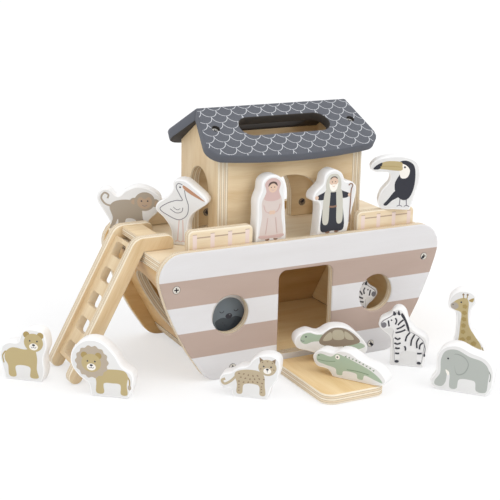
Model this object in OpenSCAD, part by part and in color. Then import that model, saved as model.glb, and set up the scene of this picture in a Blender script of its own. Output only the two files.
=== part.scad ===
// Wooden ark play set: plywood hull, cabin with a pitched roof, ladder, gangplank and block figures.
// X runs along the hull with the bow and the ladder at -X, the door side faces -Y, and the ground is Z = 0.
// The origin is the middle of the front panel's foot.

/* [Boards] */
// Thickness of the plywood of the hull, the cabin and the roof
ply = 10; // [8:0.5:12]

/* [Hull] */
// Width over both side panels
hull_w = 148; // [140:1:180]
// Height of the side panels
hull_h = 128; // [120:1:140]
// Half length of the deck board
deck_half = 148.5; // [144:0.5:160]
// Half length of the floor over the feet of the end walls
wall_foot = 99.8; // [97:0.2:108]
// How far the heads of the end walls stand out past the ends of the deck
wall_over = 1.4; // [0:0.1:3]
// How far the top corners of the side panels reach past the ends of the deck
gunwale_over = 10.5; // [6:0.5:20]
// How far the bottom corners of the side panels reach past the feet of the end walls
keel_over = 4.2; // [2:0.2:12]
// How far the raked ends of a side panel bow outwards
end_bow = 8; // [2:0.5:12]
// Radius of the top corners of a side panel
top_corner_r = 23; // [10:1:28]
// Radius of the bottom corners of a side panel
bottom_corner_r = 20; // [8:1:26]
// Height of the underside of the floor board above the ground
floor_gap = 5; // [2:0.5:8]
// How far the deck lies below the top edge of the side panels
deck_drop = 8; // [4:0.5:12]
// Diameter of the round opening in the bow wall
bow_hole_d = 69; // [40:1:80]
// Height of the middle of the bow opening
bow_hole_z = 60; // [55:1:66]

/* [Door and portholes] */
// Width of the door opening
door_w = 59.5; // [50:0.5:70]
// Height of the top of the door opening
door_top = 99; // [80:1:104]
// Radius of the upper corners of the door opening
door_r = 8; // [3:0.5:14]
// Diameter of a porthole
porthole_d = 38; // [28:1:44]
// Distance of a porthole from the middle of the hull
porthole_x = 80.6; // [68:0.2:88]
// Height of the middle of a porthole
porthole_z = 63.2; // [50:0.2:76]

/* [Cabin] */
// Length of the open deck at each end of the cabin
open_deck = 69.7; // [66:0.1:74]
// Depth of the cabin over its front and back walls
cabin_d = 83; // [76:1:88]
// How far the middle of the cabin lies behind the middle of the hull
cabin_back = 2; // [0:0.5:4]
// Height of the long walls on their outer face
wall_h = 88; // [82:1:100]
// Width of the arched doorway in a gable
gable_arch_w = 41; // [30:1:50]
// Height of the arched doorway in a gable
gable_arch_h = 69; // [55:1:76]
// Width of a long wall beside its arched doorway, with the gable's edge
wall_pier = 36.8; // [34:0.2:50]
// Height of the arched doorway in a long wall
wall_arch_h = 62.8; // [58:0.1:70]

/* [Roof] */
// Pitch of the roof
roof_pitch = 32; // [28:1:36]
// How far the ridge reaches past the gables
ridge_over = 3.7; // [1:0.1:10]
// How far the eaves reach past the gables
eave_over = 16.2; // [10:0.2:20]
// Length of a roof panel down the slope at its middle
roof_slope = 72; // [68:1:80]
// How far the eave curves back from its middle to its ends
eave_bow = 8.5; // [2:0.5:12]
// Radius of the eave corners
eave_r = 16; // [6:1:20]
// Length of the grip slot
grip_l = 97; // [70:1:110]
// Width of the grip slot
grip_w = 24.5; // [18:0.5:28]
// Distance of the grip slot and the screws from the ridge, down the slope
grip_s = 30; // [26:0.5:34]

/* [Railings] */
// Length of a railing
rail_l = 66.6; // [60:0.2:68]
// Height of a railing above the deck
rail_h = 25; // [20:1:32]
// Radius of the top corners of a railing
rail_r = 5; // [1:0.5:8]
// Distance of the railings at the bow from the end of the deck
bow_rail_gap = 28.7; // [27:0.1:31]
// Distance of the railings at the stern from the end of the deck
stern_rail_gap = 20.3; // [18:0.1:24]

/* [Ladder] */
// Width over the two ladder rails
ladder_w = 60; // [54:1:62]
// Thickness of a ladder rail
ladder_rail_t = 10; // [8:0.5:12]
// Depth of a ladder rail, seen from the side
ladder_rail_w = 14; // [12:0.5:18]
// Slope of the ladder
ladder_angle = 61.7; // [58:0.2:66]
// Play between the hooks and the end of the deck
hook_play = 0.5; // [0.3:0.1:3]
// Reach of the hooks over the deck
hook_reach = 30; // [24:1:31]
// Thickness of the ladder's step board and top board
step_board_t = 8; // [5:0.5:9]
// Length of the top board between the hooks
top_board_l = 21; // [12:1:22]
// Height of a foot hole, along the slope
foot_hole_l = 14; // [8:0.5:18]
// Width of a foot hole
foot_hole_w = 24; // [14:1:28]
// Spacing of the foot holes
foot_hole_pitch = 26; // [20:0.5:26]
// Number of foot holes
foot_holes = 5; // [3:1:5]

/* [Gangplank] */
// Width of the gangplank
plank_w = 66; // [56:1:72]
// Length of the gangplank
plank_l = 97; // [90:1:110]
// Thickness of the gangplank
plank_t = 10; // [8:0.5:12]
// Radius of the outer corners of the gangplank
plank_r = 12; // [4:1:20]
// Gap between the gangplank and the hull
plank_gap = 0.5; // [0.3:0.1:5]

/* [Screws] */
// Diameter of a screw head
screw_head_d = 8; // [6:0.5:9]
// Height of a countersunk screw head
screw_head_h = 2.6; // [1.5:0.1:4]
// Diameter of a screw shank
screw_d = 3.5; // [2.5:0.1:4]
// Length of a hull or roof screw
screw_l = 25; // [20:1:32]
// Length of a cabin screw
cabin_screw_l = 8; // [6:0.5:8]
// Depth that the roof screw heads lie below the surface
roof_screw_sink = 3; // [1:0.5:4]
// Distance of the floor screws from the middle of the hull
floor_screw_x = 77.6; // [60:0.2:84]
// Depth of the end wall screws below the underside of the deck
wall_screw_drop = 15.5; // [12:0.5:24]
// Distance of the cabin screws from the outer faces of the gables
cabin_screw_gap = 23.8; // [19:0.2:38]
// Height of the cabin screws above the deck
cabin_screw_z = 14; // [10:0.5:20]

/* [Figures] */
// Height of the two people; every other block is drawn to the same scale
figure_h = 70; // [60:1:71]
// Thickness of the wooden blocks that the figures are cut from
block_t = 15; // [10:0.5:16]
// Gap between the people and the railings
people_gap = 2.5; // [2:0.1:5]
// Step of the places where the other figures stand
spread = 10; // [9.6:0.1:11]

/* [Hidden] */
$fn = 64;
// Clearance round a screw in its hole
screw_play = 0.05;
// Clearance between pieces that stand beside each other
stand_play = 1;
// Steps in a rounded corner and in one span of a smooth outline
corner_steps = 8;
span_steps = 5;
// Overshoot of a cut, and the length of a cut that goes right through a board
over = 1;
through = 4 * ply;
// Length and width of one arm of a cross recess, as shares of the screw head
recess_l = 0.55;
recess_w = 0.15;
// Flat left between the two roundings of a rail end
tip_flat = 0.1;
// Place of the top board: shares of the height left over it, and of the rail's depth that it reaches back
top_board_lift = 0.8;
top_board_back = 0.15;
// Places along a raked end and along half an eave, as shares of its length, through which its curve is drawn
bow_spots = [0.26, 0.38, 0.5, 0.62, 0.74];
eave_spots = [-0.7, -0.45, -0.2, 0, 0.2, 0.45, 0.7];

panel_y = hull_w / 2;
inner_y = panel_y - ply;
floor_top = floor_gap + ply;
deck_top = hull_h - deck_drop;
deck_under = deck_top - ply;
wall_lean = atan((deck_half + wall_over - wall_foot) / (deck_under - floor_top));
wall_run = ply / cos(wall_lean);
keel_half = wall_foot + keel_over;
gunwale_half = deck_half + gunwale_over;
cabin_half = deck_half - open_deck;
ridge_half = cabin_half + ridge_over;
eave_half = cabin_half + eave_over;
bow_rail_x = deck_half - bow_rail_gap - rail_l / 2;
stern_rail_x = deck_half - stern_rail_gap - rail_l / 2;
wall_screw_z = deck_under - wall_screw_drop;
cabin_screw_x = cabin_half - cabin_screw_gap;
cabin_front = cabin_back - cabin_d / 2;
cabin_rear = cabin_back + cabin_d / 2;
wall_top = deck_top + wall_h;
gable_top = wall_top + cabin_d / 2 * tan(roof_pitch);
ridge_z = gable_top + ply / cos(roof_pitch);
gable_mid = cabin_half - ply / 2;
ladder_tip = ladder_rail_w / 2 * (1 - cos(ladder_angle) - sin(ladder_angle));
hook_x = -deck_half - hook_play;
leg_l = (deck_top - ladder_tip) / sin(ladder_angle);
foot_x = hook_x - leg_l * cos(ladder_angle);
step_w = ladder_w - 2 * ladder_rail_t;
step_low = (ladder_rail_w - step_board_t) / 3;
plank_back = -panel_y - plank_gap;

birch = "#dcc39a";
taupe = "#b9a498";
slate = "#5d6068";
steel = "#b9bbbd";
white = "#f1f0ee";

// Plane helpers: a unit vector, a corner turned into an arc, and an outline with its corners rounded
function unit(v) = v / norm(v);
function corner_arc(before, corner, after, r) =
    let (u = unit(before - corner), v = unit(after - corner), half = acos(u * v) / 2)
    let (mid = corner + unit(u + v) * r / sin(half))
    let (from = corner + u * r / tan(half) - mid, to = corner + v * r / tan(half) - mid)
    [for (k = [0:corner_steps]) mid + r * unit(from * (1 - k / corner_steps) + to * k / corner_steps)];
function rounded(points, radii) =
    let (n = len(points))
    [for (i = [0:n - 1])
        each radii[i] == 0 ? [points[i]]
            : corner_arc(points[(i + n - 1) % n], points[i], points[(i + 1) % n], radii[i])];

// A bowed line from a to b, without its ends
function bowed(a, b, bow) =
    let (side = [b.y - a.y, a.x - b.x] / norm(b - a))
    [for (t = bow_spots) a * (1 - t) + b * t + side * bow * 4 * t * (1 - t)];

// A smooth open curve through all the points
function curve_point(p, q, r, s, t) =
    0.5 * (2 * q + (r - p) * t + (2 * p - 5 * q + 4 * r - s) * t * t + (3 * q - p - 3 * r + s) * t * t * t);
function smooth(points) =
    let (last = len(points) - 1)
    [for (i = [0:last - 1], k = [0:span_steps - 1])
        curve_point(points[max(i - 1, 0)], points[i], points[i + 1], points[min(i + 2, last)], k / span_steps),
     points[last]];

// Everything is drawn about the middle of the hull and moved to the middle of the front panel's foot
module from_front_foot() { translate([0, panel_y - ply / 2, 0]) children(); }

// Extrusions of an outline: in X and Z, through a board of thickness t from y, and in Y and Z along X from x
module upright(y, t) { translate([0, y + t, 0]) rotate([90, 0, 0]) linear_extrude(t) children(); }
module lengthwise(x, l) { translate([x, 0, 0]) rotate([90, 0, 90]) linear_extrude(l) children(); }

module stadium(l, w) {
    square([l - w, w], center = true);
    for (side = [-1, 1]) translate([side * (l - w) / 2, 0]) circle(d = w);
}

// A countersunk screw with a cross recess, head up at the origin and shank down
module screw(l) {
    difference() {
        union() {
            translate([0, 0, -screw_head_h]) cylinder(h = screw_head_h, d1 = screw_d, d2 = screw_head_d);
            translate([0, 0, -l]) cylinder(h = l - screw_head_h, d = screw_d);
        }
        for (turn = [0, 90]) rotate(turn)
            cube([screw_head_d * recess_l, screw_head_d * recess_w, screw_head_h], center = true);
    }
}
module screw_hole(l) {
    translate([0, 0, -screw_head_h]) {
        cylinder(h = screw_head_h, d1 = screw_d + 2 * screw_play, d2 = screw_head_d + 2 * screw_play);
        translate([0, 0, screw_head_h])
            cylinder(h = roof_screw_sink + over, d = screw_head_d + 2 * screw_play);
    }
    translate([0, 0, -l - screw_play]) cylinder(h = l, d = screw_d + 2 * screw_play);
}

// Places of the hull screws on one side, turned so that their heads face out of the panel
function wall_outer(z) = wall_foot + (z - floor_top) * tan(wall_lean);
module hull_screw_places(side) {
    wall_screw_x = wall_outer(wall_screw_z) - wall_run / 2;
    for (end = [-1, 1], spot = [[wall_screw_x, wall_screw_z], [floor_screw_x, floor_gap + ply / 2]])
        translate([end * spot.x, side * panel_y, spot.y]) rotate([-side * 90, 0, 0]) children();
}

module panel_outline() {
    keel = [keel_half, 0];
    gunwale = [gunwale_half, hull_h];
    right = [keel, each bowed(keel, gunwale, end_bow), gunwale];
    left = [for (i = [len(right) - 1:-1:0]) [-right[i].x, right[i].y]];
    plain = [for (t = bow_spots) 0];
    radii = [bottom_corner_r, each plain, top_corner_r, top_corner_r, each plain, bottom_corner_r];
    polygon(rounded([each right, each left], radii));
}
module porthole_cuts() {
    for (end = [-1, 1]) translate([end * porthole_x, porthole_z]) circle(d = porthole_d);
}
module door_cut() {
    half = door_w / 2;
    polygon(rounded([[-half, floor_top], [half, floor_top], [half, door_top], [-half, door_top]],
        [0, 0, door_r, door_r]));
}
module hull_front_panel() {
    color(taupe) difference() {
        upright(-panel_y, ply) difference() {
            panel_outline();
            porthole_cuts();
            door_cut();
        }
        hull_screw_places(-1) screw_hole(screw_l);
    }
}
module hull_back_panel() {
    color(taupe) difference() {
        upright(inner_y, ply) panel_outline();
        hull_screw_places(1) screw_hole(screw_l);
    }
}
module hull_screws(side) { color(steel) hull_screw_places(side) screw(screw_l); }

module hull_floor() {
    low = wall_outer(floor_gap);
    high = wall_outer(floor_top);
    color(birch) difference() {
        upright(-inner_y, 2 * inner_y)
            polygon([[-low, floor_gap], [low, floor_gap], [high, floor_top], [-high, floor_top]]);
        for (side = [-1, 1]) hull_screw_places(side) screw_hole(screw_l);
    }
}

// The leaning board that closes one end of the hull, drawn for the bow
module end_wall(end) {
    foot = wall_outer(floor_top);
    head = wall_outer(deck_under);
    difference() {
        upright(-inner_y, 2 * inner_y)
            polygon([[end * foot, floor_top], [end * (foot - wall_run), floor_top],
                [end * (head - wall_run), deck_under], [end * head, deck_under]]);
        for (side = [-1, 1]) hull_screw_places(side) screw_hole(screw_l);
    }
}
module bow_wall() {
    color(birch) difference() {
        end_wall(-1);
        translate([-wall_outer(bow_hole_z), 0, bow_hole_z]) rotate([0, 90 - wall_lean, 0])
            cylinder(h = through, d = bow_hole_d, center = true);
    }
}
module stern_wall() { color(birch) end_wall(1); }

module deck() {
    color(birch) translate([-deck_half, -inner_y, deck_under]) cube([2 * deck_half, 2 * inner_y, ply]);
}

// Frame of a roof panel: X along the ridge, -Y down the slope, Z out of the roof
module on_roof(back) {
    translate([0, cabin_back, ridge_z]) mirror([0, back, 0]) rotate([roof_pitch, 0, 0]) children();
}
module roof_screw_places(back) {
    on_roof(back) for (end = [-1, 1]) translate([end * gable_mid, -grip_s, -roof_screw_sink]) children();
}
module roof_outline() {
    eave = function(x) eave_bow * (x / eave_half) * (x / eave_half) - roof_slope;
    edge = [for (x = eave_spots) [x * eave_half, eave(x * eave_half)]];
    plain = [for (x = eave_spots) 0];
    polygon(rounded([[ridge_half, 0], [-ridge_half, 0], [-eave_half, eave(eave_half)], each edge,
        [eave_half, eave(eave_half)]], [0, 0, eave_r, each plain, eave_r]));
}
module roof_panel(back) {
    color(slate) difference() {
        on_roof(back) translate([0, 0, -ply]) linear_extrude(ply) difference() {
            roof_outline();
            translate([0, -grip_s]) stadium(grip_l, grip_w);
        }
        translate([0, cabin_back, ridge_z]) mirror([0, back, 0])
            translate([-2 * ridge_half, 0, -through]) cube([4 * ridge_half, through, 2 * through]);
        roof_screw_places(back) screw_hole(screw_l);
    }
}
module roof_screws() { color(steel) for (back = [0, 1]) roof_screw_places(back) screw(screw_l); }

// Outline of an arched doorway that starts at the deck
module archway(w, h) {
    translate([-w / 2, -over]) square([w, h - w / 2 + over]);
    translate([0, h - w / 2]) circle(d = w);
}

module gable(x) {
    color(birch) difference() {
        lengthwise(x, ply) difference() {
            polygon([[cabin_front, deck_top], [cabin_rear, deck_top], [cabin_rear, wall_top],
                [cabin_back, gable_top], [cabin_front, wall_top]]);
            translate([cabin_back, deck_top]) archway(gable_arch_w, gable_arch_h);
        }
        for (back = [0, 1]) roof_screw_places(back) screw_hole(screw_l);
    }
}

// A long cabin wall with its doorway and with its top edge cut to the roof's pitch, drawn for the front
module long_wall() {
    difference() {
        lengthwise(-cabin_half + ply, 2 * (cabin_half - ply))
            polygon([[-cabin_d / 2, deck_top], [ply - cabin_d / 2, deck_top],
                [ply - cabin_d / 2, wall_top + ply * tan(roof_pitch)], [-cabin_d / 2, wall_top]]);
        upright(-cabin_d / 2 - over, ply + 2 * over) translate([0, deck_top])
            archway(2 * (cabin_half - wall_pier), wall_arch_h);
    }
}
module cabin_front_wall() { color(birch) translate([0, cabin_back, 0]) long_wall(); }
module cabin_screw_places() {
    for (end = [-1, 1])
        translate([end * cabin_screw_x, cabin_rear - ply, deck_top + cabin_screw_z])
            rotate([90, 0, 0]) children();
}
module cabin_back_wall() {
    color(birch) difference() {
        translate([0, cabin_back, 0]) mirror([0, 1, 0]) long_wall();
        cabin_screw_places() screw_hole(cabin_screw_l);
    }
}
module cabin_screws() { color(steel) cabin_screw_places() screw(cabin_screw_l); }

// A railing board that stands on the deck against the inside of a panel
module railing(x, side) {
    half = rail_l / 2;
    color(birch) upright(side > 0 ? inner_y - ply : -inner_y, ply) translate([x, deck_top])
        polygon(rounded([[-half, 0], [half, 0], [half, rail_h], [-half, rail_h]], [0, 0, rail_r, rail_r]));
}

// One hooked side of the ladder, from the rounded foot on the ground to the end of the hook on the deck
module ladder_rail(y) {
    across = [-sin(ladder_angle), cos(ladder_angle)];
    inner = [hook_x, deck_top];
    foot = [foot_x, ladder_tip];
    hook_top = deck_top + ladder_rail_w;
    end_r = (ladder_rail_w - tip_flat) / 2;
    outer = [hook_x - ladder_rail_w * tan(ladder_angle / 2), hook_top];
    color(birch) upright(y, ladder_rail_t)
        polygon(rounded(
            [[hook_end, hook_top], [hook_end, deck_top], inner, foot, foot + across * ladder_rail_w, outer],
            [end_r, end_r / 3, 0, end_r, end_r, ladder_rail_w]));
}
module ladder_step_board() {
    start = ladder_rail_w;
    board_l = leg_l - ladder_rail_w;
    first = start + (board_l - (foot_holes - 1) * foot_hole_pitch) / 2;
    hole = [foot_hole_l, foot_hole_w] / 2;
    hole_r = foot_hole_l / 4;
    color(birch) translate([foot_x, 0, ladder_tip]) rotate([0, -ladder_angle, 0])
        translate([0, 0, step_low]) linear_extrude(step_board_t) difference() {
            translate([start, -step_w / 2]) square([board_l, step_w]);
            for (i = [0:foot_holes - 1]) translate([first + i * foot_hole_pitch, 0])
                polygon(rounded([[-hole.x, -hole.y], [hole.x, -hole.y], [hole.x, hole.y], [-hole.x, hole.y]],
                    [hole_r, hole_r, hole_r, hole_r]));
        }
}
module ladder_top_board() {
    rise = (ladder_rail_w - step_board_t) * top_board_lift;
    color(birch) translate([hook_x - ladder_rail_w * top_board_back, -step_w / 2, deck_top + rise])
        cube([top_board_l, step_w, step_board_t]);
}

module gangplank() {
    half = plank_w / 2;
    color(birch) linear_extrude(plank_t)
        polygon(rounded([[half, plank_back], [-half, plank_back], [-half, plank_back - plank_l],
            [half, plank_back - plank_l]], [0, 0, plank_r, plank_r]));
}

// A block figure: the outline, in percent of the people's height, runs smoothly from the right end of the base
// to its left end
module figure(outline, place, turn, flip = 0) {
    color(white) translate(place) rotate(turn) mirror([flip, 0, 0]) upright(-block_t / 2, block_t)
        polygon(smooth(outline) * figure_h / 100);
}

function man() = [[23, 0], [29, 29], [36, 57], [37, 73], [29, 81], [19, 83], [13, 94], [0, 100],
    [-13, 94], [-17, 81], [-30, 69], [-31, 59], [-21, 53], [-21, 26], [-24, 0]];
function woman() = [[24, 0], [23, 26], [21, 49], [20, 69], [19, 89], [9, 99], [-4, 100], [-14, 93],
    [-16, 80], [-21, 66], [-21, 43], [-24, 0]];
function lion() = [[27, 0], [33, 17], [33, 34], [19, 44], [9, 60], [-9, 76], [-30, 77], [-47, 63],
    [-50, 43], [-39, 26], [-27, 17], [-24, 0]];
function lioness() = [[26, 0], [30, 14], [29, 34], [34, 51], [29, 70], [11, 74], [-1, 67], [-7, 54],
    [-19, 53], [-29, 47], [-33, 31], [-29, 14], [-26, 0]];
function leopard() = [[24, 0], [29, 17], [37, 31], [39, 53], [29, 61], [14, 60], [4, 54], [-4, 44],
    [-16, 40], [-26, 33], [-37, 29], [-41, 19], [-36, 10], [-26, 11], [-23, 0]];
function zebra() = [[24, 0], [27, 20], [29, 36], [24, 46], [11, 53], [1, 63], [-4, 77], [-11, 84],
    [-20, 83], [-27, 74], [-39, 66], [-41, 57], [-34, 49], [-24, 40], [-23, 20], [-23, 0]];
function elephant() = [[33, 0], [40, 14], [40, 39], [29, 53], [10, 59], [-9, 66], [-27, 61], [-36, 47],
    [-36, 26], [-43, 13], [-40, 3], [-31, 0]];
function giraffe() = [[24, 0], [29, 23], [24, 43], [11, 57], [4, 74], [4, 91], [10, 106], [4, 117],
    [-13, 119], [-26, 109], [-27, 94], [-17, 86], [-16, 57], [-20, 29], [-20, 0]];
function turtle() = [[29, 0], [41, 7], [46, 19], [36, 34], [17, 49], [-6, 51], [-23, 43], [-40, 47],
    [-56, 39], [-54, 24], [-34, 17], [-20, 10], [-19, 0]];
function crocodile() = [[37, 0], [49, 3], [53, 11], [40, 24], [17, 31], [0, 39], [-14, 39], [-24, 34],
    [-43, 34], [-53, 24], [-47, 11], [-31, 9], [-23, 0]];
function toucan() = [[21, 0], [27, 20], [33, 46], [30, 67], [14, 76], [-9, 76], [-29, 70], [-37, 59],
    [-27, 53], [-11, 53], [-9, 41], [-20, 26], [-24, 11], [-19, 0]];
function pelican() = [[13, 0], [11, 26], [16, 43], [29, 54], [37, 61], [35, 69], [21, 81], [6, 91],
    [-9, 89], [-11, 77], [-19, 67], [-33, 56], [-34, 46], [-23, 36], [-13, 20], [-13, 0]];
function monkey() = [[24, 0], [26, 17], [39, 31], [43, 49], [31, 61], [11, 67], [-6, 61], [-17, 53],
    [-29, 63], [-41, 61], [-46, 49], [-39, 34], [-29, 17], [-26, 0]];
function seal() = [[29, 0], [36, 17], [30, 37], [26, 63], [17, 83], [0, 91], [-20, 87], [-31, 71],
    [-34, 51], [-27, 31], [-21, 14], [-20, 0]];

// Rows of figures: just inside the front panel on the deck, and a little further back in the hold
strip_y = -inner_y + stand_play + block_t / 2;
hold_y = strip_y + spread / 2;
plank_mid = plank_back - plank_l / 2;
hook_end = hook_x + hook_reach;
man_half = man()[3].x * figure_h / 100;
woman_half = woman()[0].x * figure_h / 100;
seal_half = -seal()[len(seal()) - 1].x * figure_h / 100;

module man_figure() {
    figure(man(), [stern_rail_x - rail_l / 2 - people_gap - man_half, strip_y, deck_top], 0);
}
module woman_figure() {
    figure(woman(), [rail_l / 2 - bow_rail_x + people_gap + woman_half, strip_y, deck_top], 0);
}
module lion_figure() { figure(lion(), [foot_x + 1.8 * spread, -ladder_w / 2 - 3.4 * spread, 0], -38); }
module lioness_figure() { figure(lioness(), [foot_x - 3.9 * spread, 0.6 * spread, 0], -40); }
module leopard_figure() { figure(leopard(), [-plank_w / 2 - 4.8 * spread, -panel_y - 4.5 * spread, 0], -40); }
module zebra_figure() { figure(zebra(), [plank_w / 2 + 6.1 * spread, -panel_y - 4 * spread, 0], -38); }
module hold_zebra_figure() { figure(zebra(), [porthole_x - 1.56 * spread, hold_y, floor_top], 0, 1); }
module elephant_figure() {
    figure(elephant(), [plank_w / 2 + 7.1 * spread, -panel_y - 11.8 * spread, 0], -48);
}
module giraffe_figure() { figure(giraffe(), [plank_w / 2 + 10.3 * spread, -panel_y - 7.8 * spread, 0], -40); }
module turtle_figure() {
    figure(turtle(), [plank_w / 2 - 1.3 * spread, plank_back - 2.1 * spread, plank_t], -16);
}
module crocodile_figure() { figure(crocodile(), [1.2 * spread, plank_mid - 2 * spread, plank_t], -56); }
module toucan_figure() {
    figure(toucan(), [stern_rail_x + spread, -inner_y + 2 * stand_play, deck_top + rail_h], -30);
}
module pelican_figure() {
    figure(pelican(), [hook_end + 1.5 * spread, 1.4 * spread - ladder_w / 2, deck_top], -42);
}
module monkey_figure() {
    figure(monkey(), [hook_x + 1.7 * spread, ladder_w / 2 + 0.8 * spread + block_t / 2, deck_top], -25);
}
module seal_figure() { figure(seal(), [wall_run - wall_foot + seal_half + spread / 4, hold_y, floor_top], 0); }

from_front_foot() hull_front_panel();
from_front_foot() hull_back_panel();
from_front_foot() hull_floor();
from_front_foot() bow_wall();
from_front_foot() stern_wall();
from_front_foot() deck();
from_front_foot() hull_screws(-1);  // hull_front_screws
from_front_foot() hull_screws(1);  // hull_back_screws
from_front_foot() cabin_front_wall();
from_front_foot() cabin_back_wall();
from_front_foot() gable(-cabin_half);  // cabin_left_gable
from_front_foot() gable(cabin_half - ply);  // cabin_right_gable
from_front_foot() cabin_screws();
from_front_foot() roof_panel(0);  // roof_front_panel
from_front_foot() roof_panel(1);  // roof_back_panel
from_front_foot() roof_screws();
from_front_foot() railing(-bow_rail_x, -1);  // front_left_railing
from_front_foot() railing(stern_rail_x, -1);  // front_right_railing
from_front_foot() railing(-bow_rail_x, 1);  // back_left_railing
from_front_foot() railing(stern_rail_x, 1);  // back_right_railing
from_front_foot() ladder_rail(-ladder_w / 2);  // ladder_near_rail
from_front_foot() ladder_rail(ladder_w / 2 - ladder_rail_t);  // ladder_far_rail
from_front_foot() ladder_step_board();
from_front_foot() ladder_top_board();
from_front_foot() gangplank();
from_front_foot() man_figure();
from_front_foot() woman_figure();
from_front_foot() lion_figure();
from_front_foot() lioness_figure();
from_front_foot() leopard_figure();
from_front_foot() zebra_figure();
from_front_foot() hold_zebra_figure();
from_front_foot() elephant_figure();
from_front_foot() giraffe_figure();
from_front_foot() turtle_figure();
from_front_foot() crocodile_figure();
from_front_foot() toucan_figure();
from_front_foot() pelican_figure();
from_front_foot() monkey_figure();
from_front_foot() seal_figure();
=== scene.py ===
"""Looks of a wooden ark play set: plywood boards, painted bands and scales, and printed block figures."""

import math

import bmesh
import bpy
from mathutils import Matrix, Vector


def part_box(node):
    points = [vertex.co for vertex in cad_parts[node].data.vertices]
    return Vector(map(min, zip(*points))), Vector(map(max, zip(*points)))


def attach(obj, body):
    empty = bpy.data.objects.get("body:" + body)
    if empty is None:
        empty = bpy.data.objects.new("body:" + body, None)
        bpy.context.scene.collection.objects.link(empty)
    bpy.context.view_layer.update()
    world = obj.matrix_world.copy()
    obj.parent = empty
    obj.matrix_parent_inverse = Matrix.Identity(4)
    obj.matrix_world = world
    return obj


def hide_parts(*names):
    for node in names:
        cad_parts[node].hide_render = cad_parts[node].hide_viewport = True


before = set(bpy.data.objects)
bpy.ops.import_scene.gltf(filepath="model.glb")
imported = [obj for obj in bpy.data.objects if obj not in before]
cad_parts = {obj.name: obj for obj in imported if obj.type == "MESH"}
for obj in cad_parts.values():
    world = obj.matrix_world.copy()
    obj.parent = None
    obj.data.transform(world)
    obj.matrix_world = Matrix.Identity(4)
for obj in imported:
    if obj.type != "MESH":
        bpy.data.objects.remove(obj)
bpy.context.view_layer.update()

bl_info = {
    "name": "Wooden Ark Play Set",
    "version": (1, 0, 0),
    "blender": (4, 5, 0),
    "location": "View3D > Sidebar > Ark",
    "description": "Builds the boards, paint, prints and studio of a wooden ark play set",
    "category": "Object",
}

MM = 0.001
X, Y, Z = Vector((1, 0, 0)), Vector((0, 1, 0)), Vector((0, 0, 1))

# Angles of the leaning boards, in radians, and the thickness of the figure blocks
ROOF_PITCH = math.radians(32)
WALL_LEAN = math.radians(27.8)
LADDER_SLOPE = math.radians(61.7)
BLOCK = 15 * MM

# Edges that turn by more than this are rounded over, except around holes smaller than the least
SHARP = math.radians(32)
LEAST_HOLE = 14 * MM
# Rounding of butted walls, inner boards, ladder rails, railings and screw heads
WALL_ROUND, INNER_ROUND, RAIL_ROUND = 0.6 * MM, 0.8 * MM, 1.8 * MM
RAILING_ROUND, SCREW_ROUND = 2.2 * MM, 0.5 * MM
# Rounding along the floor's and the stern board's joints, which show as dark lines of painted shade
FLOOR_JOINT, STERN_JOINT = 1.4 * MM, 1.8 * MM
# Places in a board's list of materials
FACE, EDGE, BACK, JOINT = range(4)
# A cross-head recess has this many corners, and the bright ring around it has more
CROSS_CORNERS = 12
# Screw heads are wider than this and their rims are rounded; their recesses are smaller and stay sharp
LEAST_HEAD = 7 * MM

# Scale lines on the roof, in millimetres along and down the panel: where the pattern starts, and where it
# stops at the bowed eave and at the flared ends
SCALE_START = (-7.7, -4.4)
EAVE, EAVE_BOW = 71.5, 0.00109
END, END_FLARE = 82.8, 0.17
# The roof's grip slot and screw holes lie this far from the ridge, and this near the middle
HOLES_FROM, HOLES_TO, HOLES_REACH = 10 * MM, 52 * MM, 80 * MM

# Painted railings, in millimetres: posts, and lines, which swell between two posts and lie above their feet
POSTS, POST_STEP, POST_TALL, POST_FOOT = 4, 18, 18.5, 2.5
LINE_TALL, LINE_SWELL, LINE_ABOVE = 0.6, 2.0, 15.1

# The photo's view: degrees round, up and about the line of sight, the point looked at, its distance, the lens
VIEW_ANGLES = (-27.78, 16.24, 1.21)
VIEW_TARGET = Vector((-22.69, 69.03, 99.58)) * MM
VIEW_DISTANCE = 1210.43 * MM
SENSOR, LENS = 36, 87.24
# Studio suns, each with its place, its strength and its spread in degrees, and the lamp under the deck
SUNS = (
    ("key", (0.6, -1.15, 1.2), 0.95, 45),
    ("fill", (-1.3, -0.45, 0.9), 0.6, 80),
    ("top", (0.1, 0.2, 1.0), 0.85, 90),
)
HOLD_WATTS, HOLD_GAP = 0.013, 2 * MM

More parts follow.
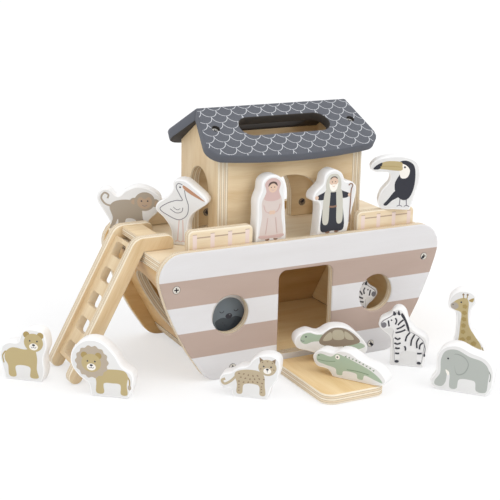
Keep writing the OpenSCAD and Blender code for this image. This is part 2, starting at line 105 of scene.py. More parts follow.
COLOURS = {
    "birch pale": "#e9d5b2",
    "birch deep": "#cfb083",
    "light birch pale": "#ecdec4",
    "light birch deep": "#dac19b",
    "golden birch pale": "#edd3a6",
    "golden birch deep": "#d8b57d",
    "bare birch pale": "#ddba83",
    "bare birch deep": "#c49a60",
    # Birch of the hold, lighter than the rest: painted light for the dim space under the deck
    "hold birch pale": "#f2dcb2",
    "hold birch deep": "#e0bf86",
    "veneer cream": "#f1e7d3",
    "veneer tan": "#d5ba90",
    "glue line": "#8a6c48",
    "band white": "#dcdada",
    "band taupe": "#b6a195",
    "roof slate": "#5b5e66",
    # A near-black painted shade for the roof's underside and slot and hole walls, and the dark of its speckle
    "roof shade": "#3a3633",
    # A dark brown painted shade for the floor's and the stern board's joints
    "seam": "#3d2b18",
    "scale line": "#c8cace",
    "post pink": "#e6d3cb",
    "rail line": "#b49b85",
    "block white": "#f3f2f1",
    # The printed face's paint, a greyer copy of the block white: painted shade
    "block front": "#e3e2e0",
    # Zinc in two copies, brighter on the roof as painted light and greyer on the hull as painted shade
    "bright zinc": "#f1efea",
    "zinc": "#d8d3c9",
    "bronzed": "#8d8072",
    "ochre": "#bba97c",
    "ochre dark": "#a8925c",
    "mane": "#b5a795",
    "cream": "#f4efe6",
    "ink": "#3a3a42",
    "soft ink": "#7d7b80",
    "leopard tan": "#bcac90",
    "spot brown": "#8d7860",
    "sage": "#a8b9a3",
    "sage dark": "#83977f",
    "turtle brown": "#8f8170",
    "turtle pale": "#b9b19b",
    "elephant grey": "#b0b4ae",
    "elephant dark": "#989d97",
    "muzzle grey": "#aca397",
    "zebra white": "#ecebea",
    "charcoal": "#2e2f38",
    "terracotta": "#b98a6c",
    "leg pink": "#dcc2ba",
    "monkey taupe": "#a99d8d",
    "monkey face": "#b9a189",
    "seal slate": "#747e85",
    "seal dark": "#474e54",
    "skin": "#dcbfa9",
    "dress pink": "#d4c6bf",
    "dress shade": "#cdb0aa",
    "hair": "#54403c",
    "mantle": "#c9c6ba",
    "sandal": "#8a6a58",
}


def linear(code):
    """Turns an sRGB hex code into a linear colour with alpha."""
    parts = [int(code[i : i + 2], 16) / 255 for i in (1, 3, 5)]
    return [p / 12.92 if p <= 0.04045 else ((p + 0.055) / 1.055) ** 2.4 for p in parts] + [1.0]


def settings():
    """The sizes and colours that a user can change."""
    return bpy.context.scene.ark_settings


def colour(name):
    """A named colour in linear light, from the settings where a user can change it."""
    chosen = getattr(settings(), name.replace(" ", "_") + "_colour", None)
    return linear(COLOURS[name]) if chosen is None else list(chosen)


# Finishes


def result(node):
    """A node's first output in use."""
    return next(output for output in node.outputs if output.enabled)


def add(tree, kind, inputs=(), **options):
    """Adds a node, sets its options, and fills or links its inputs; a node as an input links its result."""
    node = tree.nodes.new(kind)
    for key, value in options.items():
        setattr(node, key, value)
    for key, value in inputs.items() if isinstance(inputs, dict) else enumerate(inputs):
        if isinstance(value, bpy.types.Node):
            value = result(value)
        if isinstance(value, bpy.types.NodeSocket):
            tree.links.new(value, node.inputs[key])
        else:
            node.inputs[key].default_value = value
    return node


def surface(name, roughness=0.5):
    """A new material, with its node tree and its shader."""
    material = bpy.data.materials.new(name)
    material.use_nodes = True
    tree = material.node_tree
    shader = tree.nodes["Principled BSDF"]
    shader.inputs["Roughness"].default_value = roughness
    shader.inputs["Specular IOR Level"].default_value = 0.35
    return material, tree, shader


def coat(tree, shader, share, low, high):
    """Gives a shader a colour between two others, each a colour or a node, by a share from 0 to 1."""
    mixed = add(tree, "ShaderNodeMix", {0: share, 6: low, 7: high}, data_type="RGBA")
    tree.links.new(result(mixed), shader.inputs["Base Color"])
    return mixed


def relief(tree, shader, height, roughness, spread, depth):
    """Lets a height node vary a shader's roughness by a spread, and raise its surface by a depth."""
    dull = add(tree, "ShaderNodeMath", [height, spread, roughness - spread / 2], operation="MULTIPLY_ADD")
    tree.links.new(result(dull), shader.inputs["Roughness"])
    raised = add(tree, "ShaderNodeBump", {"Height": height, "Distance": depth})
    tree.links.new(result(raised), shader.inputs["Normal"])


def grain(tree):
    """How dark the birch is at a point, along the board's grain.

    A cloudy figure about 12 mm wide and 90 mm long, with pores drawn 0.6 mm wide and 18 mm long, a little
    coarser than in birch so that they show.
    """
    where = add(tree, "ShaderNodeUVMap", uv_map="grain")
    shares = []
    # Cells per millimetre, detail, squeeze along and across the grain, weight: the figure, then the pores
    for scale, detail, along, across, weight in ((0.05, 4.0, 0.22, 1.6, 0.9), (0.9, 2.0, 0.06, 2.0, 0.35)):
        drawn = add(tree, "ShaderNodeMapping", {"Vector": where, "Scale": (along, across, 1)})
        cloud = add(tree, "ShaderNodeTexNoise", {"Vector": drawn, "Scale": scale, "Detail": detail})
        shares.append(add(tree, "ShaderNodeMath", [cloud, weight], operation="MULTIPLY"))
    return add(tree, "ShaderNodeMath", shares, operation="ADD")


def birch_face(name, tone):
    """Birch veneer, sanded and lacquered: honey-cream, with a faint cloudy figure along the grain."""
    material, tree, shader = surface(name)
    figure = grain(tree)
    # The share rises from 0 where the figure is 0.4 to 1 where it is 0.9
    share = add(tree, "ShaderNodeMath", [figure, 2.0, -0.8], operation="MULTIPLY_ADD", use_clamp=True)
    coat(tree, shader, share, colour(tone + " pale"), colour(tone + " deep"))
    relief(tree, shader, figure, 0.48, 0.2, -0.06 * MM)
    return material


def ply_edge():
    """Sanded plywood edge: cream and tan veneers, streaked every 8 mm or so, with thin brown glue lines."""
    material, tree, shader = surface("Plywood Edge, Sanded")
    depth = add(tree, "ShaderNodeAttribute", attribute_name="depth").outputs["Fac"]
    layer = add(tree, "ShaderNodeMath", [depth, settings().veneer / MM], operation="DIVIDE")
    number = add(tree, "ShaderNodeMath", [layer], operation="FLOOR")
    odd = add(tree, "ShaderNodeMath", [number, 2.0], operation="MODULO")
    where = add(tree, "ShaderNodeTexCoord").outputs["Object"]
    streak = add(tree, "ShaderNodeTexNoise", {"Vector": where, "Scale": 0.12 / MM, "Detail": 3.0})
    faint = add(tree, "ShaderNodeMath", [streak, 0.3], operation="MULTIPLY")
    tone = add(tree, "ShaderNodeMath", [odd, 0.45, faint], operation="MULTIPLY_ADD")
    veneers = coat(tree, shader, tone, colour("veneer cream"), colour("veneer tan"))
    # The glue lines take the outer tenth of each veneer on both sides
    within = add(tree, "ShaderNodeMath", [layer], operation="FRACT")
    middle = add(tree, "ShaderNodeMath", [within, 0.5, 0.4], operation="COMPARE")
    line = add(tree, "ShaderNodeMath", [middle, -0.68, 0.68], operation="MULTIPLY_ADD")
    coat(tree, shader, line, veneers, colour("glue line"))
    relief(tree, shader, tone, 0.6, 0.15, -0.05 * MM)
    return material


def banded_paint():
    """Even bands of white and taupe paint, rolled on thin, with a little of the grain showing through."""
    material, tree, shader = surface("Banded Paint, Matt")
    where = add(tree, "ShaderNodeTexCoord").outputs["Object"]
    height = add(tree, "ShaderNodeSeparateXYZ", [where]).outputs["Z"]
    step = add(tree, "ShaderNodeMath", [height, settings().band], operation="DIVIDE")
    band = add(tree, "ShaderNodeMath", [step], operation="FLOOR")
    odd = add(tree, "ShaderNodeMath", [band, 2.0], operation="MODULO")
    bands = coat(tree, shader, odd, colour("band white"), colour("band taupe"))
    figure = grain(tree)
    # A figure above 0.45 shows through, by less than a tenth
    share = add(tree, "ShaderNodeMath", [figure, 0.16, -0.072], operation="MULTIPLY_ADD", use_clamp=True)
    coat(tree, shader, share, bands, colour("glue line"))
    relief(tree, shader, figure, 0.55, 0.15, -0.05 * MM)
    return material


def scaled_roof():
    """Slate-grey paint, brushed on and speckled at about 1.2 mm, with thin pale lines like fish scales."""
    material, tree, shader = surface("Roof Paint, Scale Lines")
    chosen = settings()
    radius, pitch, line = (size / MM for size in (chosen.scale_radius, chosen.scale_pitch, chosen.scale_line))
    where = add(tree, "ShaderNodeUVMap", uv_map="grain")
    split = add(tree, "ShaderNodeSeparateXYZ", [where])
    known = {"along": split.outputs["X"], "down": split.outputs["Y"]}
    for name, operation, *inputs in (
        # The row of scales, and the place across and below the middle of one scale
        ("started", "SUBTRACT", "down", SCALE_START[1]),
        ("rows", "DIVIDE", "started", pitch),
        ("row", "FLOOR", "rows"),
        ("odd", "FLOORED_MODULO", "row", 2.0),
        ("slid", "SUBTRACT", "along", SCALE_START[0]),
        ("shifted", "MULTIPLY_ADD", "odd", radius, "slid"),
        ("cell", "FLOORED_MODULO", "shifted", 2 * radius),
        ("across", "SUBTRACT", "cell", radius),
        ("within", "SUBTRACT", "rows", "row"),
        ("below", "MULTIPLY", "within", radius),
        # A line one radius from that middle
        ("across squared", "MULTIPLY", "across", "across"),
        ("both squared", "MULTIPLY_ADD", "below", "below", "across squared"),
        ("reach", "SQRT", "both squared"),
        ("drawn", "COMPARE", "reach", radius, line / 2),
        # The lines stop before the bowed eave and the flared ends
        ("bow", "MULTIPLY", "along", "along"),
        ("eave", "MULTIPLY_ADD", "bow", -EAVE_BOW, EAVE),
        ("above", "LESS_THAN", "down", "eave"),
        ("side", "ABSOLUTE", "along"),
        ("flare", "MULTIPLY_ADD", "down", END_FLARE, END),
        ("between", "LESS_THAN", "side", "flare"),
        ("inside", "MULTIPLY", "above", "between"),
        ("marked", "MULTIPLY", "drawn", "inside"),
    ):
        sources = [known.get(each, each) for each in inputs]
        known[name] = add(tree, "ShaderNodeMath", sources, operation=operation)
    speck = add(tree, "ShaderNodeTexNoise", {"Vector": where, "Scale": 0.8, "Detail": 3.0})
    # A speck of 0.5 darkens the paint by 0.12, and one below 0.35 not at all
    share = add(tree, "ShaderNodeMath", [speck, 0.8, -0.28], operation="MULTIPLY_ADD", use_clamp=True)
    slate = coat(tree, shader, share, colour("roof slate"), colour("roof shade"))
    coat(tree, shader, known["marked"], slate, colour("scale line"))
    relief(tree, shader, speck, 0.6, 0.2, -0.06 * MM)
    return material


def paint(name, shade, roughness, metal=0.0, pebble=0.0, depth=0.0):
    """An even coat of paint, ink or metal, with the fine pebbling of a sprayed or plated skin if sized."""
    material, tree, shader = surface(name, roughness)
    shader.inputs["Base Color"].default_value = colour(shade)
    shader.inputs["Metallic"].default_value = metal
    if pebble:
        where = add(tree, "ShaderNodeTexCoord").outputs["Object"]
        height = add(tree, "ShaderNodeTexNoise", {"Vector": where, "Scale": 1 / pebble, "Detail": 2.0})
        relief(tree, shader, height, roughness, 0.2, depth)
    return material


SPECIAL = {
    "birch": lambda: birch_face("Birch Veneer, Lacquered", "birch"),
    "light birch": lambda: birch_face("Birch Veneer, Pale", "light birch"),
    "golden birch": lambda: birch_face("Birch Veneer, Golden", "golden birch"),
    "bare birch": lambda: birch_face("Birch Veneer, Unpainted Inside", "bare birch"),
    # A lighter copy of the birch for the hold: painted light for the dim space under the deck
    "hold birch": lambda: birch_face("Birch Veneer, Hold", "hold birch"),
    "edge": ply_edge,
    "bands": banded_paint,
    "scales": scaled_roof,
    # Brushed roof paint: dull slate grey on the edges
    "roof": lambda: paint("Roof Paint, Slate Grey", "roof slate", 0.6, 0.0, 3 * MM, 0.06 * MM),
    # Below, and on the walls of the slot and screw holes: near-black painted shade, where no light falls
    "shade": lambda: paint("Roof Paint, Underside", "roof shade", 0.7),
    # The open joint between two boards: a dark brown line of painted shade
    "seam": lambda: paint("Birch Joint, Open", "seam", 0.8),
    # Sprayed block paint: a smooth soft-white coat; duller on the printed face, and greyer as painted shade
    "white": lambda: paint("Block Paint, White", "block white", 0.45, 0.0, 2 * MM, 0.04 * MM),
    "front": lambda: paint("Block Paint, Printed Face", "block front", 0.5, 0.0, 2 * MM, 0.03 * MM),
    # Zinc-plated steel: a brighter copy on the roof, painted light for heads sunk in shade, and a greyer
    # copy on the hull, painted shade; dark painted shade in the cross recesses; the inner screws a brownish
    # grey
    "bright zinc": lambda: paint("Zinc-Plated Steel, Bright", "bright zinc", 0.35, 0.4, 0.5 * MM, 0.01 * MM),
    "zinc": lambda: paint("Zinc-Plated Steel", "zinc", 0.4, 0.5, 0.5 * MM, 0.01 * MM),
    "recess": lambda: paint("Steel, Shaded Recess", "ink", 0.5, 0.5),
    "bronzed": lambda: paint("Bronzed Steel", "bronzed", 0.45, 0.4, 0.5 * MM, 0.01 * MM),
}
MADE = {}


def material(key):
    """The material of that key, made once; any other colour name is a printing ink, flat and dull."""
    if key not in MADE:
        MADE[key] = SPECIAL[key]() if key in SPECIAL else paint("Print Ink, " + key.title(), key, 0.5)
    return MADE[key]


# Meshes


def link(item):
    """Puts an object into the scene."""
    bpy.context.scene.collection.objects.link(item)
    return item


def show(name, mesh, body, node=None):
    """Puts a finished mesh into the scene, riding its body, and standing for a CAD node if one is named."""
    made = link(bpy.data.objects.new(name, mesh))
    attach(made, body)
    if node:
        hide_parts(node)
    return made


def whole(work, name):
    """Turns a mesh in the making into a mesh of that name."""
    mesh = bpy.data.meshes.new(name)
    work.to_mesh(mesh)
    work.free()
    return mesh


def finished(mesh, *keys):
    """Gives a mesh those materials in place of any that it has."""
    if mesh.materials:
        mesh.materials.clear()
    for key in keys:
        mesh.materials.append(material(key))
    return mesh


def applied(holder):
    """The mesh of an object with its modifiers, after which the object is gone."""
    graph = bpy.context.evaluated_depsgraph_get()
    final = holder.evaluated_get(graph)
    mesh = bpy.data.meshes.new_from_object(final, preserve_all_data_layers=True, depsgraph=graph)
    bpy.data.objects.remove(holder)
    return mesh


def joined(edges):
    """Sorts edges into groups that hang together."""
    left, groups = set(edges), []
    while left:
        group, queue = [], [left.pop()]
        while queue:
            edge = queue.pop()
            group.append(edge)
            near = {other for vertex in edge.verts for other in vertex.link_edges} & left
            left -= near
            queue.extend(near)
        groups.append(group)
    return groups


def rounded(node, width, segments=3, least=LEAST_HOLE):
    """A CAD node's mesh in clean flat faces, its sharp edges rounded over except around small holes."""
    work = bmesh.new()
    work.from_mesh(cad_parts[node].data)
    bmesh.ops.remove_doubles(work, verts=work.verts, dist=0.001 * MM)
    bmesh.ops.dissolve_limit(work, angle_limit=math.radians(0.4), verts=work.verts, edges=work.edges)
    bmesh.ops.recalc_face_normals(work, faces=work.faces)
    for face in work.faces:
        face.smooth = True
    weight = work.edges.layers.float.new("bevel_weight_edge")
    for group in joined(edge for edge in work.edges if edge.calc_face_angle(0) > SHARP):
        spots = [vertex.co for edge in group for vertex in edge.verts]
        wide = max(max(s[i] for s in spots) - min(s[i] for s in spots) for i in range(3)) > least
        for edge in group:
            edge[weight] = float(wide)
            edge.smooth = wide
    holder = link(bpy.data.objects.new(node + "_holder", whole(work, node)))
    bevel = holder.modifiers.new("Rounding", "BEVEL")
    bevel.width = width
    bevel.segments = segments
    bevel.limit_method = "WEIGHT"
    bevel.harden_normals = True
    return applied(holder)


def dress(node, normal, grain, face, width=None, back=None, seam=0, painted=False,
          body="ark", edge="edge"):
    """Rounds a board, marks its grain and veneers, and gives it a face, an edge and a back material.

    The rounding is a dark painted shade, like an open joint's shadow, on the face side where seam is 1, on
    the back where it is -1. On a painted board the paint covers the rounding too.
    """
    # A polygon counts as face or back if its normal leans along the board's by more than this
    flat = 0.2 if painted else 0.9
    mesh = rounded(node, width or settings().board_round)
    across = normal.cross(grain)
    low = min(normal.dot(vertex.co) for vertex in mesh.vertices)
    depth = mesh.attributes.new("depth", "FLOAT", "POINT")
    for vertex in mesh.vertices:
        depth.data[vertex.index].value = (normal.dot(vertex.co) - low) / MM
    layer = mesh.uv_layers.new(name="grain")
    for loop in mesh.loops:
        spot = mesh.vertices[loop.vertex_index].co / MM
        layer.data[loop.index].uv = (spot.dot(grain), spot.dot(across))
    finished(mesh, *(face, edge, back or face, "seam")[: 4 if seam else 3])
    for polygon in mesh.polygons:
        lean = polygon.normal.dot(normal)
        polygon.material_index = EDGE if abs(lean) < flat else FACE if lean > 0 else BACK
        # The rounding leans between the edge and the face, and takes the joint's dark painted shade
        if 0.1 < lean * seam < 0.9:
            polygon.material_index = JOINT
    return show(node + "_board", mesh, body, node)


def screws(node, metal):
    """Gives a group of screws bright heads, painted shade in recesses and rims, and softened edges."""
    mesh = finished(rounded(node, SCREW_ROUND, 2, LEAST_HEAD), metal, "recess")
    for polygon in mesh.polygons:
        polygon.material_index = 0 if len(polygon.vertices) > CROSS_CORNERS else 1
    return show(node + "_set", mesh, "ark", node)


# Plane outlines, in millimetres: x to the right and z up on a figure's front


def smooth(points, steps=6, closed=True):
    """A smooth curve through all the points."""
    count = len(points)
    made = []
    for i in range(count if closed else count - 1):
        pick = [(i + k) % count if closed else min(max(i + k, 0), count - 1) for k in (-1, 0, 1, 2)]
        p, q, r, s = (Vector(points[k]) for k in pick)
        for step in range(steps):
            t = step / steps
            bend, twist = 2 * p - 5 * q + 4 * r - s, 3 * q - p - 3 * r + s
            made.append(0.5 * (2 * q + (r - p) * t + bend * t * t + twist * t**3))
    if not closed:
        made.append(Vector(points[-1]))
    return made


def disc(x, z, wide, tall=None, turn=0, wave=0, waves=0):
    """A round or oval outline, optionally with a scalloped rim."""
    tall = tall or wide
    made = []
    count = 72 if waves else 28
    for i in range(count):
        angle = 2 * math.pi * i / count
        swell = 1 + wave * math.cos(waves * angle)
        spot = Vector((wide * swell * math.cos(angle), tall * swell * math.sin(angle)))
        spot.rotate(Matrix.Rotation(math.radians(turn), 2))
        made.append(spot + Vector((x, z)))
    return made


def stroke(points, width, steps=6):
    """A pen stroke of even width along a smooth curve."""
    line = smooth(points, steps, closed=False)
    left, right = [], []
    for i, spot in enumerate(line):
        ahead = (line[min(i + 1, len(line) - 1)] - line[max(i - 1, 0)]).normalized()
        side = Vector((-ahead.y, ahead.x)) * width / 2
        left.append(spot + side)
        right.append(spot - side)
    return right + left[::-1]


def arc(x, z, radius, start, end, width):
    """A pen stroke along part of a circle."""
    turns = [math.radians(start + (end - start) * i / 4) for i in range(5)]
    return stroke([(x + radius * math.cos(t), z + radius * math.sin(t)) for t in turns], width, 4)


def corners(*points):
    """A straight-edged outline."""
    return [Vector(point) for point in points]


def prism(work, outline, front, back, index=0):
    """Adds a thin flat piece with that outline to a mesh, from y = front to y = back."""
    area = sum(a.x * b.y - b.x * a.y for a, b in zip(outline, outline[1:] + outline[:1]))
    loop = outline if area > 0 else outline[::-1]
    near = [work.verts.new((p.x * MM, front, p.y * MM)) for p in loop]
    far = [work.verts.new((p.x * MM, back, p.y * MM)) for p in loop]
    faces = [work.faces.new(near), work.faces.new(far[::-1])]
    for i in range(len(loop)):
        j = (i + 1) % len(loop)
        faces.append(work.faces.new((near[i], far[i], far[j], near[j])))
    for face in faces:
        face.material_index = index


def stamp_tree():
    """Geometry nodes that set a copy of one object on each point, with the point's own turn and size."""
    if "Stamp on Points" in bpy.data.node_groups:
        return bpy.data.node_groups["Stamp on Points"]
    tree = bpy.data.node_groups.new("Stamp on Points", "GeometryNodeTree")
    for name, way, kind in (
        ("Points", "INPUT", "Geometry"), ("Stamp", "INPUT", "Object"), ("Ink", "INPUT", "Material"),
        ("Marks", "OUTPUT", "Geometry"),
    ):
        tree.interface.new_socket(name, in_out=way, socket_type="NodeSocket" + kind)
    given = add(tree, "NodeGroupInput").outputs
    turn = add(tree, "GeometryNodeInputNamedAttribute", {"Name": "turn"}, data_type="FLOAT")
    size = add(tree, "GeometryNodeInputNamedAttribute", {"Name": "size"}, data_type="FLOAT_VECTOR")
    spin = add(tree, "ShaderNodeCombineXYZ", {"Y": turn.outputs[0]})
    shape = add(tree, "GeometryNodeObjectInfo", {"Object": given["Stamp"]})
    marks = add(tree, "GeometryNodeInstanceOnPoints", {
        "Points": given["Points"],
        "Instance": shape.outputs["Geometry"],
        "Rotation": spin.outputs[0],
        "Scale": size.outputs[0],
    })
    real = add(tree, "GeometryNodeRealizeInstances", {"Geometry": marks.outputs[0]})
    inked = add(tree, "GeometryNodeSetMaterial", {"Geometry": real.outputs[0], "Material": given["Ink"]})
    add(tree, "NodeGroupOutput", {"Marks": inked.outputs[0]})
    return tree


def stamped(name, outline, ink, spots):
    """A mesh of one thin outline set on many spots, each (x, y, z, degrees, width, height) in millimetres."""
    work = bmesh.new()
    lift = settings().ink_lift
    prism(work, outline, -lift, lift / 4)
    pattern = bpy.data.objects.new(name + "_pattern", whole(work, name + "_shape"))
    mesh = bpy.data.meshes.new(name + "_spots")
    mesh.from_pydata([Vector(spot[:3]) * MM for spot in spots], [], [])
    turn = mesh.attributes.new("turn", "FLOAT", "POINT")
    size = mesh.attributes.new("size", "FLOAT_VECTOR", "POINT")
    for i, spot in enumerate(spots):
        turn.data[i].value = -math.radians(spot[3])
        size.data[i].vector = (spot[4], 1, spot[5])
    holder = link(bpy.data.objects.new(name, mesh))
    nodes = holder.modifiers.new("Stamp", "NODES")
    nodes.node_group = stamp_tree()
    sockets = nodes.node_group.interface.items_tree
    names = {item.name: item.identifier for item in sockets if item.in_out == "INPUT"}
    nodes[names["Stamp"]] = pattern
    nodes[names["Ink"]] = material(ink)
    made = applied(holder)
    bpy.data.objects.remove(pattern)
    return made


# Figures: the base's middle in millimetres, the turn about the vertical in degrees, and -1 where mirrored
PLACES = {
    "man": (33.2, 13.5, 120, 0, 1),
    "woman": (-33.9, 13.5, 120, 0, 1),
    "lion": (-197, 5, 0, -38, 1),
    "lioness": (-254, 75, 0, -40, 1),
    "leopard": (-81, -50, 0, -40, 1),
    "zebra": (94, -45, 0, -38, 1),
    "hold_zebra": (65, 18.5, 15, 0, -1),
    "elephant": (104, -123, 0, -48, 1),
    "giraffe": (136, -83, 0, -40, 1),
    "turtle": (20, -26.5, 10, -16, 1),
    "crocodile": (12, -74, 10, -56, 1),
    "toucan": (104.9, 7, 145, -30, 1),
    "pelican": (-104, 53, 120, -42, 1),
    "monkey": (-132, 114.5, 120, -25, 1),
    "seal": (-72, 18.5, 15, 0, 1),
}

# Printed pictures: layers of an ink and an outline, from the lowest to the highest


def fill(ink, *points, steps=6):
    """A smooth patch of ink."""
    return ink, smooth(points, steps)


def pen(ink, width, *points, steps=6):
    """A stroke of ink."""
    return ink, stroke(points, width, steps)


def curve(ink, *shape):
    """A stroke of ink along part of a circle."""
    return ink, arc(*shape)


def dot(ink, *shape):
    """A round or oval patch of ink."""
    return ink, disc(*shape)


def dots(ink, places, *shape):
    """The same round patch of ink at several places."""
    return [dot(ink, x, z, *shape) for x, z in places]


def big_cat(x, z, size):
    """A calm cat's face looking out."""
    def pair(right, up):
        return [(x + side * right * size, z + up * size) for side in (-1, 1)]

    return [
        *dots("ochre dark", pair(0.72, 0.78), 0.34 * size),
        dot("ochre", x, z, size, 0.95 * size),
        dot("cream", x, z - 0.42 * size, 0.46 * size, 0.36 * size),
        *dots("ink", pair(0.38, 0.18), 0.085 * size),
        dot("ink", x, z - 0.24 * size, 0.16 * size, 0.11 * size),
        *(curve("soft ink", *place, 0.13 * size, 180, 360, 0.5) for place in pair(0.13, -0.4)),
    ]


def zebra():
    """A zebra in profile, looking left."""
    body = [(-12, 32), (-4, 37), (5, 34.5), (13, 29.5), (16, 24), (15.5, 16), (14, 4), (10.5, 4), (9, 14.5),
            (2, 16), (-5, 15), (-7.5, 4), (-11, 4), (-12, 15), (-13.5, 24)]
    head = [(-13.5, 28), (-2, 36), (-3.5, 45), (-7, 52), (-12, 54), (-17, 50), (-24, 45), (-26, 41),
            (-23, 37.5), (-16.5, 38.5), (-14, 36)]
    stripes = [
        [(-19.5, 46), (-19, 43), (-18.5, 40)], [(-13, 49), (-11.5, 46.5), (-12.5, 42.5)],
        [(-5, 48), (-8, 45), (-10, 42)], [(-3.5, 43), (-7, 40), (-11, 38)],
        [(-2.5, 38), (-7, 35.5), (-12, 34)], [(2, 35.5), (-1, 31), (-2, 26)],
        [(6.5, 33.5), (4, 28), (3.5, 22)], [(11, 30.5), (9, 26), (9.5, 20)],
        [(15, 26), (12.5, 23.5), (12, 19)], [(-12.5, 29), (-9.5, 27.5), (-7, 29)],
        [(-12.5, 23.5), (-9.5, 22.5), (-6.5, 24)], [(-11.5, 18.5), (-9.5, 18), (-7, 18.5)],
        [(-1.5, 16.5), (-1.5, 19), (-2.5, 21)], [(10, 14.5), (12, 14.5), (14.5, 15)],
        [(-11.3, 13), (-9.5, 12.8), (-7.2, 13)],
    ]
    return [
        pen("soft ink", 0.9, (15.5, 26), (17.5, 20), (17, 14)),
        dot("ink", 17, 13, 0.9, 1.8),
        fill("soft ink", *((x * 1.03, z * 1.012) for x, z in body)),
        fill("soft ink", *((x * 1.02, z * 1.012) for x, z in head)),
        fill("zebra white", *body),
        fill("zebra white", *head),
        fill("ink", (-7.5, 52), (-3.5, 46), (-0.5, 38), (1.5, 36.5), (0, 43), (-3.5, 50.5), (-6.5, 54.5)),
        fill("ink", (-11, 53), (-10, 57), (-8.2, 52.5), steps=4),
        fill("ink", (-15, 51.5), (-15, 56), (-12, 53), steps=4),
        dot("soft ink", -23.6, 41, 2.5, 2.9, -25),
        dot("ink", -16.5, 46.5, 0.8),
        *(pen("ink", 1.5, *stripe, steps=4) for stripe in stripes),
        *dots("ink", ((-9.2, 4.6), (12.2, 4.6)), 2.0, 1.3),
    ]


